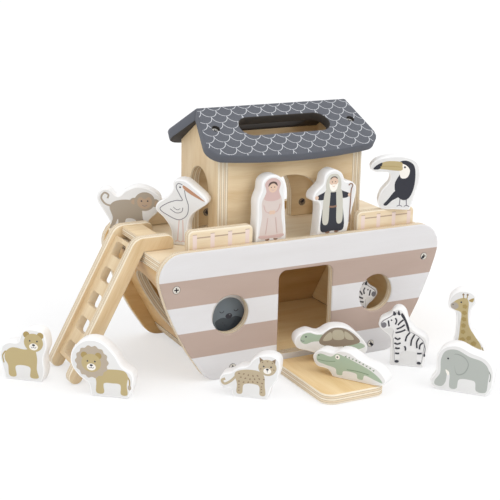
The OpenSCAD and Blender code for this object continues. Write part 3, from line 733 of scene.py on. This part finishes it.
PRINTS = {
    "lion": [
        pen("ochre dark", 1.2, (17, 23), (20, 18), (20, 12)),
        dot("mane", 20, 11, 1.6, 2.4),
        fill("ochre", (-12, 25), (0, 27), (14, 27), (18.5, 22), (17.5, 13), (18, 4), (12, 4), (11.5, 13),
            (4, 14), (-4, 13), (-4, 4), (-11, 4), (-11, 14)),
        dot("mane", -15, 33, 15.2, 15.2, 0, 0.05, 14),
        *big_cat(-15.5, 32, 9.2),
    ],
    "lioness": [
        pen("ochre dark", 1.2, (-17, 28), (-20, 23), (-19, 16)),
        fill("ochre", (-17, 27), (-10, 32), (2, 31), (11, 33), (14, 24), (13.5, 12), (15, 4), (7, 4),
            (6.5, 14), (-7, 14), (-7, 4), (-14, 4), (-15, 14), (-18, 20)),
        *big_cat(11, 38.5, 9.4),
    ],
    "leopard": [
        pen("leopard tan", 2.4, (-12, 21), (-18, 14.5), (-23.5, 11.5), (-26, 14.5), (-23, 16.5)),
        fill("leopard tan", (-14, 23), (-5, 27), (7, 27), (13, 23), (14, 13), (14.5, 4), (9.5, 4),
            (8, 13), (-5, 13), (-7, 4), (-12, 4), (-12, 13)),
        ("spot brown", corners((9, 35), (8.5, 40.5), (13, 37.5))),
        ("spot brown", corners((19, 37.5), (23.5, 40), (23, 34.5))),
        dot("leopard tan", 16, 31, 8.4, 7.8),
        dot("cream", 16, 27.8, 3.6, 2.8),
        *dots("ink", ((12.6, 32), (19.4, 32)), 0.8),
        dot("ink", 16, 29.4, 1.3, 0.9),
        pen("soft ink", 0.5, (16, 28.5), (16, 26.6)),
    ],
    "zebra": zebra(),
    "hold_zebra": zebra(),
    "elephant": [
        pen("elephant dark", 1.0, (23, 26), (25.5, 21), (25, 15)),
        fill("elephant grey", (23.5, 14), (23.5, 26), (17, 33.5), (5, 36.5), (-7, 41.5), (-17, 39),
            (-21, 30), (-21, 17), (-25.5, 9), (-25, 4.5), (-19, 4), (-15.5, 9), (-14.5, 18), (-12, 16),
            (-11.5, 4), (-5, 4), (-3, 13), (8, 14), (12, 12), (13.5, 4), (22, 4), steps=7),
        fill("elephant dark", (-9, 37), (0, 36), (5, 29), (2, 20), (-5, 17), (-8, 24)),
        fill("elephant grey", (-9.5, 36.2), (-0.6, 35.2), (4, 29), (1.2, 21), (-5, 18.2), (-8, 25)),
        dot("ink", -14.5, 32, 0.9),
        fill("cream", (-16, 21), (-12.5, 18.5), (-13.5, 15.5), (-15.5, 18)),
    ],
    "giraffe": [
        pen("ochre dark", 1.0, (15, 28), (17, 22), (16, 16)),
        fill("ochre", (-7.5, 36), (-7, 50), (-7, 61), (-14, 64), (-16, 69), (-11, 74), (-4, 76),
            (-0.5, 72), (-0.5, 60), (1.5, 48), (8, 38), (14, 29), (15, 17), (13.5, 4), (9.5, 4),
            (8.5, 17), (-3, 17), (-5, 4), (-9, 4), (-9, 18), (-9, 28), steps=7),
        dot("muzzle grey", -13.5, 67.5, 3.8, 3.4, -10),
        pen("ochre dark", 0.9, (-5.5, 75), (-6, 79)),
        pen("ochre dark", 0.9, (-2.5, 75), (-2, 79)),
        *dots("spot brown", ((-6, 79.4), (-2, 79.4)), 1.0),
        fill("ochre dark", (-0.5, 74), (4, 76.5), (3, 72.5)),
        dot("ink", -7.5, 71.5, 0.8),
        dot("ink", -15, 68.5, 0.5),
    ],
    "turtle": [
        fill("sage", (-12, 22.6), (-22, 22.2), (-30, 20.2), (-35, 24), (-32.6, 29.8), (-26, 31.2),
            (-20, 29.2), (-10, 28)),
        fill("sage", (-10, 20.5), (-2, 18.5), (-3, 11.5), (-7, 6), (-12, 7.5)),
        fill("sage", (14, 19.5), (24, 18.5), (29.5, 14.5), (22, 12), (12, 15)),
        fill("sage dark", (8, 16.5), (15, 13.5), (24, 8), (18, 6.5), (9, 10.5)),
        fill("turtle brown", (-16, 20.5), (-13, 28.5), (-3, 35), (9, 33.5), (19, 26.5), (24, 19),
            (10, 16), (-6, 16.5)),
        fill("turtle pale", (-12.5, 22.5), (-10, 28), (-5, 31), (-4, 23.5), steps=4),
        fill("turtle pale", (-2, 23.5), (-3, 32), (6, 32), (8, 23.5), steps=4),
        fill("turtle pale", (10, 23.5), (8.5, 31), (15, 27), (18, 22), steps=4),
        pen("turtle brown", 1.0, (-13, 21), (2, 19), (19, 20)),
        dot("ink", -29.5, 27.5, 0.8),
        curve("soft ink", -32, 25.6, 2.4, 200, 300, 0.5),
    ],
    "crocodile": [
        fill("sage", (-33, 18), (-29, 20.5), (-19, 19.5), (-13, 23.5), (-6, 22.5), (8, 18.5), (21, 14),
            (30, 8.5), (33.5, 4), (26, 5.5), (16, 8), (14, 3.5), (9, 3.5), (7, 8), (-5, 8), (-7, 3.5),
            (-12, 3.5), (-14, 9), (-24, 10.5), (-32, 12.5), steps=7),
        dot("cream", -12, 20.5, 2.3),
        dot("ink", -12.2, 20.3, 0.9),
        pen("sage dark", 0.7, (-33, 14.5), (-26, 14), (-18, 15), (-14, 16)),
        dot("ink", -31, 18.6, 0.6),
        pen("sage dark", 0.8, (-2, 10), (8, 10.5), (20, 9.5)),
    ],
    "toucan": [
        pen("soft ink", 0.9, (5, 12), (4.5, 4)),
        pen("soft ink", 0.9, (11, 12), (11.5, 4)),
        pen("soft ink", 0.8, (2, 3.5), (4.5, 4.6), (7.5, 3.5)),
        pen("soft ink", 0.8, (9, 3.5), (11.5, 4.6), (14.5, 3.5)),
        fill("charcoal", (0, 19), (-7, 10), (-11, 5), (-8, 4), (-3, 9), (4, 14)),
        fill("charcoal", (3, 35), (-1, 26), (1, 15), (8, 10), (14, 13), (18, 24), (18.5, 38), (16, 46),
            (9, 49.5), (3, 48), (8, 44)),
        fill("cream", (3, 46), (9, 45), (13, 40), (11, 33), (5, 32), (3, 38)),
        fill("ochre", (4, 48), (-8, 48.5), (-17, 45.5), (-21, 41), (-14, 40.5), (4, 39.5), (5.5, 44)),
        fill("charcoal", (-14, 46.8), (-19.5, 44), (-22.5, 40.2), (-16.5, 40.6), steps=5),
        pen("ochre dark", 0.5, (4, 43), (-8, 43.6), (-16, 42.8)),
        dot("ink", 8, 43, 1.0),
    ],
    "pelican": [
        pen("leg pink", 1.0, (-1, 25), (-2, 12), (-2.5, 4)),
        pen("leg pink", 1.0, (2.5, 25), (3, 12), (3, 4)),
        pen("leg pink", 1.0, (-5, 3.5), (-2.5, 4.4), (0, 3.5)),
        pen("leg pink", 1.0, (0.6, 3.5), (3, 4.4), (6, 3.5)),
        pen("soft ink", 0.7, (2, 59), (-2, 60), (-4, 56), (-0.5, 49), (2, 44), (-4, 43.5), (-13, 40),
            (-20, 34), (-11, 28), (-1, 25), (6.5, 30), (8, 39), (5.5, 47), (4, 54)),
        fill("terracotta", (3, 58.5), (13, 52.5), (24, 44.5), (13, 49), (4, 54.5)),
        pen("soft ink", 0.6, (-10, 35), (-4, 31.5), (1.5, 33), (2.5, 37)),
        pen("soft ink", 0.5, (-7, 37), (-3, 34.5), (0, 36)),
        dot("ink", -0.2, 56.5, 0.8),
    ],
    "monkey": [
        pen("monkey taupe", 1.8, (-18, 27), (-24, 29), (-28, 35), (-25, 40), (-21, 38), (-22, 34.5)),
        fill("monkey taupe", (-20, 26), (-14, 32), (0, 33), (10, 28), (12, 16), (13.5, 5), (8, 4),
            (5, 13), (-4, 14), (-6, 4.5), (-11, 4), (-12, 14), (-16, 5), (-20, 5), (-17, 15)),
        dot("monkey taupe", 3.5, 31, 4.2),
        dot("monkey taupe", 24.5, 30, 4.0),
        dot("monkey face", 3.5, 31, 2.4),
        dot("monkey face", 24.5, 30, 2.2),
        dot("monkey taupe", 14, 31.5, 10, 9.4),
        fill("monkey face", (7, 33), (10, 36), (14, 34), (18, 36), (21, 33), (20, 27), (14, 24), (8, 27)),
        *dots("ink", ((11, 32), (17, 32)), 0.8),
        curve("soft ink", 14, 29.5, 2.6, 210, 330, 0.5),
    ],
    "man": [
        *dots("sandal", ((-5, 8.5), (5, 8.5)), 2.6, 1.2),
        fill("charcoal", (-7, 45.9), (-12, 27.6), (-12.5, 10.2), (0, 9.6), (12.5, 10.2), (12, 27.6),
            (7, 45.9), steps=5),
        fill("charcoal", (-6, 49.5), (-12, 47.7), (-18, 44.9), (-15.5, 41.3), (-8, 42.2)),
        fill("charcoal", (6, 49.5), (12, 47.7), (18, 44.9), (15.5, 41.3), (8, 42.2)),
        *dots("skin", ((-18.2, 43.7), (18.4, 43.7)), 1.9),
        fill("mantle", (-3.5, 51.4), (-9, 49.5), (-11, 36.7), (-11, 18.4), (-5, 17.5), (-4, 33.1),
            steps=5),
        fill("mantle", (3.5, 51.4), (9, 49.5), (11, 36.7), (11, 18.4), (5, 17.5), (4, 33.1), steps=5),
        pen("sandal", 1.8, (-4.2, 34), (0, 33.4), (4.2, 34)),
        fill("mantle", (-7.5, 50.4), (-8, 58.7), (-4, 65.1), (4, 65.1), (8, 58.7), (7.5, 50.4),
            (0, 47.7)),
        dot("skin", 0, 57.8, 4.8, 5.2),
        fill("cream", (-4.9, 56.8), (-3, 55.4), (0, 55.7), (3, 55.4), (4.9, 56.8), (3.6, 50.9), (0, 48.6),
            (-3.6, 50.9)),
        curve("hair", 0, 58.2, 4.7, 35, 145, 1.0),
        *dots("ink", ((-1.8, 58.1), (1.8, 58.1)), 0.5),
        curve("skin", 0, 54.8, 1.4, 200, 340, 0.6),
        pen("sandal", 0.9, (19, 16.6), (19.6, 33.1), (20, 47.7), (21.5, 52.7), (19.5, 54.8), (17, 53.2)),
    ],
    "woman": [
        *dots("sandal", ((-4, 8.5), (5, 8.5)), 2.4, 1.2),
        fill("dress pink", (-6, 51.4), (-10.5, 44), (-10, 31.2), (-12, 10.2), (0, 9.6), (12.5, 10.2),
            (10.5, 31.2), (11, 44), (7.5, 51.4), steps=5),
        fill("dress shade", (-12, 12.9), (0, 12.2), (12.4, 12.9), (12.5, 10.2), (0, 9.6), (-12, 10.2),
            steps=4),
        fill("dress shade", (-6, 55), (-7.5, 62.3), (-3, 66.9), (4, 66.9), (9, 62.3), (7.5, 55),
            (9, 47.7), (0.5, 45.4), (-8, 47.7)),
        dot("skin", 0.8, 59, 4.8, 5.4),
        fill("hair", (-4, 59.6), (-3, 62.9), (0.8, 64.2), (4.6, 62.9), (5.6, 59.6), (2.8, 61.8),
            (0.8, 62.3), (-1.2, 61.8)),
        *dots("ink", ((-1.0, 58.7), (2.6, 58.7)), 0.5),
        curve("dress shade", 0.8, 57.4, 1.6, 210, 330, 0.6),
        pen("dress shade", 0.8, (-8.5, 42.2), (-6, 35.8), (0, 34), (6.5, 35.8), (9, 42.2)),
        *dots("skin", ((-0.8, 34.5), (2.0, 34.5)), 1.9),
        pen("dress shade", 0.6, (-4, 29.4), (-5, 20.2), (-6, 13.8)),
        pen("dress shade", 0.6, (4.5, 29.4), (5.5, 20.2), (6.5, 13.8)),
    ],
    "seal": [
        fill("seal slate", (16, 4), (20.5, 12), (17, 26), (14, 44), (8.5, 55), (-2, 59.5), (-13, 56),
            (-18.5, 47), (-19.5, 36), (-15, 22), (-11, 10), (-10, 4)),
        fill("seal dark", (-17, 36), (-10, 40), (-2.5, 38.5), (5, 40), (12, 36), (8, 28), (-2, 24),
            (-12, 27)),
        dot("ink", -2.5, 41, 3.6, 2.7),
        dot("soft ink", -1.6, 42.2, 0.9, 0.5, -20),
        curve("ink", -10, 47.5, 2.4, 200, 340, 0.7),
        curve("ink", 5, 47.5, 2.4, 200, 340, 0.7),
        *dots("ink", ((-9, 35), (-7, 32.5), (4, 35), (2, 32.5)), 0.6),
    ],
}


def marks():
    """Marks that repeat on a figure: an outline, an ink, and spots as (x, z, degrees, width, height)."""
    # Three rows of freckles, a little out of line, then those of the legs, the brow and the cheeks
    freckles = [
        (-10 + 4.3 * i + 1.6 * (row % 2), 15.5 + 3.5 * row + 0.6 * math.sin(5 * i + row), 35 * i, 0.95, 0.6)
        for row in range(3)
        for i in range(6 - row // 2)
    ]
    freckles += [(x, z, 20, 0.7, 0.5) for x in (-10, 11) for z in (6.5, 9.5, 12)]
    freckles += [(11.5, 36, 40, 0.8, 0.5), (16, 37, 0, 0.8, 0.5), (20.5, 36, -40, 0.8, 0.5)]
    freckles += [(10, 29.5, 70, 0.7, 0.5), (22, 29.5, -70, 0.7, 0.5)]
    # Patches up the neck, then those of the body
    patches = [(-3.8, 42 + 6.4 * i, 20 * i, 2.1, 2.3) for i in range(5)]
    patches += [
        (-4, 34, 10, 2.6, 2.4), (2, 36, 40, 2.4, 2.2), (0, 29, 70, 2.8, 2.4), (7, 31, 20, 2.6, 2.4),
        (-4, 23, 0, 2.6, 2.2), (3.5, 22.5, 30, 2.8, 2.3), (10.5, 24, 60, 2.4, 2.2), (11, 15, 0, 1.6, 2.0),
        (-6.8, 14, 0, 1.5, 2.0),
    ]
    # Spikes down a bent back
    scutes = [(-4 + 3.5 * i, 22.2 - 0.42 * i - 0.075 * i * i, -18 - 2 * i, 1.0, 0.95) for i in range(9)]
    return {
        "leopard": (disc(0, 0, 1), "spot brown", freckles),
        "giraffe": (disc(0, 0, 1, 1, 0, 0.08, 5), "ochre dark", patches),
        "crocodile": (corners((-1, 0), (1, 0), (0.4, 2)), "sage dark", scutes),
    }


def picture(name, layers, front):
    """Prints the layers of one figure on the front of its block."""
    work = bmesh.new()
    lift = settings().ink_lift
    inks = list(dict.fromkeys(ink for ink, outline in layers))
    for level, (ink, outline) in enumerate(layers):
        prism(work, outline, -lift * (level + 1), lift / 4, inks.index(ink))
    work.transform(front)
    bmesh.ops.recalc_face_normals(work, faces=work.faces)
    return show(name + "_print", finished(whole(work, name + "_print"), *inks), name)


# Studio


def background_ray(tree):
    """1 for a ray from the camera, or by way of a shiny or clear surface, and 0 for one that brings light."""
    rays = add(tree, "ShaderNodeLightPath").outputs
    either = add(tree, "ShaderNodeMath", [rays["Is Camera Ray"], rays["Is Glossy Ray"]], operation="MAXIMUM")
    return add(tree, "ShaderNodeMath", [either, rays["Is Transmission Ray"]], operation="MAXIMUM")


def lay_floor():
    """White studio paper just below the feet, which the camera sees a little brighter than it is lit."""
    sheet, tree, shader = surface("Studio Paper, White", 0.9)
    shader.inputs["Base Color"].default_value = (0.94, 0.94, 0.94, 1)
    shader.inputs["Specular IOR Level"].default_value = 0.1
    seen = add(tree, "ShaderNodeMath", [background_ray(tree), 0.55], operation="MULTIPLY")
    glow = add(tree, "ShaderNodeEmission", {"Color": (1, 1, 1, 1)})
    mixed = add(tree, "ShaderNodeMixShader", [seen, shader, glow])
    tree.links.new(mixed.outputs[0], tree.nodes["Material Output"].inputs["Surface"])
    work = bmesh.new()
    bmesh.ops.create_grid(work, x_segments=1, y_segments=1, size=6)
    floor = link(bpy.data.objects.new("floor", whole(work, "floor")))
    floor.location.z = -0.2 * MM
    floor.data.materials.append(sheet)


def studio_world(scene):
    """A soft even light from all round, which the camera sees as white."""
    world = bpy.data.worlds.new("Studio")
    world.use_nodes = True
    tree = world.node_tree
    tree.nodes.clear()
    seen = background_ray(tree)
    light = add(tree, "ShaderNodeBackground", {"Color": (0.97, 0.98, 1.0, 1), "Strength": 0.62})
    white = add(tree, "ShaderNodeBackground", {"Color": (1, 1, 1, 1), "Strength": 1.0})
    mixed = add(tree, "ShaderNodeMixShader", [seen, light, white])
    add(tree, "ShaderNodeOutputWorld", {"Surface": mixed})
    scene.world = world


def shine_suns():
    """Three wide soft suns, from the front right, from the front left and from above."""
    for name, place, strength, spread in SUNS:
        lamp = bpy.data.lights.new(name, "SUN")
        lamp.energy = strength
        lamp.angle = math.radians(spread)
        lit = link(bpy.data.objects.new(name, lamp))
        lit.location = place
        lit.rotation_euler = (-Vector(place)).to_track_quat("-Z", "Y").to_euler()


def light_hold():
    """A faint even light under the deck, in place of the light that a studio's walls throw in at the door."""
    low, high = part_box("hull_floor")
    lamp = bpy.data.lights.new("hold", "AREA")
    lamp.shape = "RECTANGLE"
    lamp.size, lamp.size_y = high.x - low.x, high.y - low.y
    lamp.energy = HOLD_WATTS
    lit = link(bpy.data.objects.new("hold", lamp))
    lit.location = ((low.x + high.x) / 2, (low.y + high.y) / 2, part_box("deck")[0].z - HOLD_GAP)


def stand_camera(scene):
    """The photo's view: from the front left, a little above, turned slightly about its own line of sight."""
    azimuth, height, roll = (math.radians(angle) for angle in VIEW_ANGLES)
    flat = math.cos(height)
    back = Vector((math.sin(azimuth) * flat, -math.cos(azimuth) * flat, math.sin(height)))
    right = (-back).cross(Z).normalized()
    up = right.cross(-back)
    turned_right = right * math.cos(roll) + up * math.sin(roll)
    turned_up = up * math.cos(roll) - right * math.sin(roll)
    turn = Matrix((turned_right, turned_up, back)).transposed().to_4x4()
    lens = bpy.data.cameras.new("camera")
    lens.sensor_width = SENSOR
    lens.lens = LENS
    camera = link(bpy.data.objects.new("camera", lens))
    camera.matrix_world = Matrix.Translation(VIEW_TARGET + back * VIEW_DISTANCE) @ turn
    scene.camera = camera


# The add-on


def length(name, description, size):
    """A size that a user can change, with its default in millimetres."""
    return bpy.props.FloatProperty(name=name, description=description, default=size * MM, unit="LENGTH")


def tint(name, description):
    """A colour that a user can change, with the colour of that name as its default."""
    start = linear(COLOURS[name.lower()])
    return bpy.props.FloatVectorProperty(
        name=name, description=description, subtype="COLOR", size=4, default=start)


class ArkSettings(bpy.types.PropertyGroup):
    """Sizes and colours of the boards, the paint and the prints."""

    board_round: length("Board rounding", "Radius of the sanded board edges", 1.3)
    roof_round: length("Roof rounding", "Radius of the roof panels' edges", 2.6)
    block_round: length("Block rounding", "Radius of the figure blocks' edges", 1.6)
    veneer: length("Veneer", "Thickness of one layer of the plywood", 2.0)
    band: length("Band", "Height of one painted band on the hull", 25.6)
    scale_radius: length("Scale radius", "Half the width of one roof scale", 8.06)
    scale_pitch: length("Scale pitch", "Distance between two rows of roof scales", 8.7)
    scale_line: length("Scale line", "Width of the pale lines on the roof", 0.62)
    ink_lift: length("Ink lift", "Thickness of one printed layer", 0.03)
    post_width: length("Post width", "Width of a painted railing post", 4.2)
    band_white_colour: tint("Band white", "Pale bands of the hull")
    band_taupe_colour: tint("Band taupe", "Dark bands of the hull")
    roof_slate_colour: tint("Roof slate", "Paint of the roof")
    post_pink_colour: tint("Post pink", "Painted railing posts")
    block_white_colour: tint("Block white", "Paint of the figures")


class ARK_OT_hull(bpy.types.Operator):
    """Dress the side panels, the floor, the end walls, the deck and their screws"""

    bl_idname = "ark.hull"
    bl_label = "Hull"

    def execute(self, context):
        bow, stern = (Vector((way * math.cos(WALL_LEAN), 0, -math.sin(WALL_LEAN))) for way in (-1, 1))
        for node, out in (("hull_front_panel", -Y), ("hull_back_panel", Y)):
            dress(node, out, X, "bands", back="bare birch", painted=True)
        # The floor and the inner faces of the deck and end walls take the lighter hold birch, a painted light
        dress("hull_floor", Z, X, "hold birch", FLOOR_JOINT, seam=1)
        dress("deck", Z, X, "light birch", INNER_ROUND, back="hold birch")
        dress("bow_wall", bow, Y, "bare birch", INNER_ROUND, back="hold birch")
        dress("stern_wall", stern, Y, "bare birch", STERN_JOINT, back="hold birch", seam=-1)
        for node in ("hull_front_screws", "hull_back_screws"):
            screws(node, "zinc")
        return {"FINISHED"}


class ARK_OT_cabin(bpy.types.Operator):
    """Dress the cabin walls, the gables and the screws inside"""

    bl_idname = "ark.cabin"
    bl_label = "Cabin"

    def execute(self, context):
        for node, out, along in (
            ("cabin_front_wall", -Y, X),
            ("cabin_back_wall", Y, X),
            ("cabin_left_gable", -X, Z),
            ("cabin_right_gable", X, Z),
        ):
            dress(node, out, along, "birch", WALL_ROUND)
        screws("cabin_screws", "bronzed")
        return {"FINISHED"}


class ARK_OT_roof(bpy.types.Operator):
    """Paint the two roof panels with scales and set their screws"""

    bl_idname = "ark.roof"
    bl_label = "Roof"

    def execute(self, context):
        radius = settings().roof_round
        for node, side in (("roof_front_panel", -1), ("roof_back_panel", 1)):
            up = Vector((0, side * math.sin(ROOF_PITCH), math.cos(ROOF_PITCH)))
            down = Vector((0, side * math.cos(ROOF_PITCH), -math.sin(ROOF_PITCH)))
            # The underside takes a near-black painted shade
            made = dress(node, up, X * side, "scales", radius, back="shade", edge="roof")
            mesh = made.data
            ridge = max((vertex.co for vertex in mesh.vertices), key=lambda spot: spot.z)
            layer = mesh.uv_layers["grain"]
            for loop in mesh.loops:
                spot = mesh.vertices[loop.vertex_index].co
                layer.data[loop.index].uv = (spot.x / MM, (spot - ridge).dot(down) / MM)
            # The walls of the grip slot and the screw holes take the same painted shade
            for polygon in mesh.polygons:
                below = HOLES_FROM < (polygon.center - ridge).dot(down) < HOLES_TO
                if polygon.material_index == EDGE and below and abs(polygon.center.x) < HOLES_REACH:
                    polygon.material_index = BACK
        screws("roof_screws", "bright zinc")
        return {"FINISHED"}


class ARK_OT_railings(bpy.types.Operator):
    """Dress the railing boards and paint their posts and lines"""

    bl_idname = "ark.railings"
    bl_label = "Railings"

    def execute(self, context):
        half = settings().post_width / MM / 2
        post, line = (
            corners((-half, 0), (half, 0), (half, tall), (-half, tall)) for tall in (POST_TALL, LINE_TALL)
        )
        # A line crosses each gap between two posts, and a short one caps each post
        places = [POST_STEP * (i - (POSTS - 1) / 2) for i in range(POSTS)]
        gaps = [place + POST_STEP / 2 for place in places[:-1]]
        stretch = (POST_STEP / half - 2) / 2
        for node in ("front_left_railing", "front_right_railing", "back_left_railing", "back_right_railing"):
            side = -1 if node.startswith("front") else 1
            dress(node, Y * side, X, "light birch", RAILING_ROUND)
            low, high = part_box(node)
            middle = ((low.x + high.x) / 2, low.y if side < 0 else high.y, 0)
            turn = Matrix.Translation(middle) @ Matrix.Rotation(0 if side < 0 else math.pi, 4, "Z")
            foot = low.z / MM + POST_FOOT
            posts = [(place, 0, foot, 0, 1, 1) for place in places]
            lines = [(gap, 0, foot + LINE_ABOVE, 0, stretch, LINE_SWELL) for gap in gaps]
            lines += [(place, 0, foot + POST_TALL, 0, 1, 1) for place in places]
            for name, shape, ink, spots in (
                ("_posts", post, "post pink", posts),
                ("_lines", line, "rail line", lines),
            ):
                mesh = stamped(node + name, shape, ink, spots)
                mesh.transform(turn)
                show(node + name, mesh, "ark")
        return {"FINISHED"}


class ARK_OT_ladder(bpy.types.Operator):
    """Dress the hooked ladder"""

    bl_idname = "ark.ladder"
    bl_label = "Ladder"

    def execute(self, context):
        across = Vector((-math.sin(LADDER_SLOPE), 0, math.cos(LADDER_SLOPE)))
        along = Vector((math.cos(LADDER_SLOPE), 0, math.sin(LADDER_SLOPE)))
        for node, out in (("ladder_near_rail", -Y), ("ladder_far_rail", Y)):
            dress(node, out, along, "birch", RAIL_ROUND, body="ladder")
        dress("ladder_step_board", across, along, "birch", INNER_ROUND, body="ladder", edge="light birch")
        dress("ladder_top_board", Z, X, "birch", INNER_ROUND, body="ladder")
        return {"FINISHED"}


class ARK_OT_gangplank(bpy.types.Operator):
    """Dress the gangplank"""

    bl_idname = "ark.gangplank"
    bl_label = "Gangplank"

    def execute(self, context):
        dress("gangplank", Z, Y, "golden birch", body="gangplank")
        return {"FINISHED"}


class ARK_OT_figures(bpy.types.Operator):
    """Round the white blocks and print the animals and people on them"""

    bl_idname = "ark.figures"
    bl_label = "Figures"

    def execute(self, context):
        repeated = marks()
        for name, layers in PRINTS.items():
            node = name + "_figure"
            x, y, z, turn, hand = PLACES[name]
            front = (
                Matrix.Translation(Vector((x, y, z)) * MM)
                @ Matrix.Rotation(math.radians(turn), 4, "Z")
                @ Matrix.Scale(hand, 4, X)
                @ Matrix.Translation((0, -BLOCK / 2, 0))
            )
            block = finished(rounded(node, settings().block_round), "white", "front")
            facing = front.to_3x3() @ -Y
            # The printed face takes the greyer copy of the block paint, a painted shade
            for polygon in block.polygons:
                polygon.material_index = 1 if polygon.normal.dot(facing) > 0.99 else 0
            show(name + "_block", block, name, node)
            picture(name, layers, front)
            if name in repeated:
                outline, ink, spots = repeated[name]
                top = -settings().ink_lift * len(layers) / MM
                mesh = stamped(name + "_marks", outline, ink, [(spot[0], top, *spot[1:]) for spot in spots])
                mesh.transform(front)
                show(name + "_marks", mesh, name)
        return {"FINISHED"}


class ARK_OT_stage(bpy.types.Operator):
    """Set the white floor, the soft studio light and the camera"""

    bl_idname = "ark.stage"
    bl_label = "Studio"

    def execute(self, context):
        lay_floor()
        studio_world(context.scene)
        shine_suns()
        light_hold()
        stand_camera(context.scene)
        context.scene.view_settings.view_transform = "Standard"
        return {"FINISHED"}


class ARK_PT_panel(bpy.types.Panel):
    """Buttons that build the play set, and its sizes and colours"""

    bl_idname = "ARK_PT_panel"
    bl_label = "Wooden Ark"
    bl_space_type = "VIEW_3D"
    bl_region_type = "UI"
    bl_category = "Ark"

    def draw(self, context):
        for step in STEPS:
            self.layout.operator(step.bl_idname)
        for name in ArkSettings.__annotations__:
            self.layout.prop(context.scene.ark_settings, name)


STEPS = (
    ARK_OT_hull,
    ARK_OT_cabin,
    ARK_OT_roof,
    ARK_OT_railings,
    ARK_OT_ladder,
    ARK_OT_gangplank,
    ARK_OT_figures,
    ARK_OT_stage,
)
CLASSES = (ArkSettings, *STEPS, ARK_PT_panel)


def register():
    for each in CLASSES:
        bpy.utils.register_class(each)
    bpy.types.Scene.ark_settings = bpy.props.PointerProperty(type=ArkSettings)


def unregister():
    del bpy.types.Scene.ark_settings
    for each in reversed(CLASSES):
        bpy.utils.unregister_class(each)


def main():
    register()
    bpy.ops.ark.hull()
    bpy.ops.ark.cabin()
    bpy.ops.ark.roof()
    bpy.ops.ark.railings()
    bpy.ops.ark.ladder()
    bpy.ops.ark.gangplank()
    bpy.ops.ark.figures()
    bpy.ops.ark.stage()


if __name__ == "__main__":
    main()
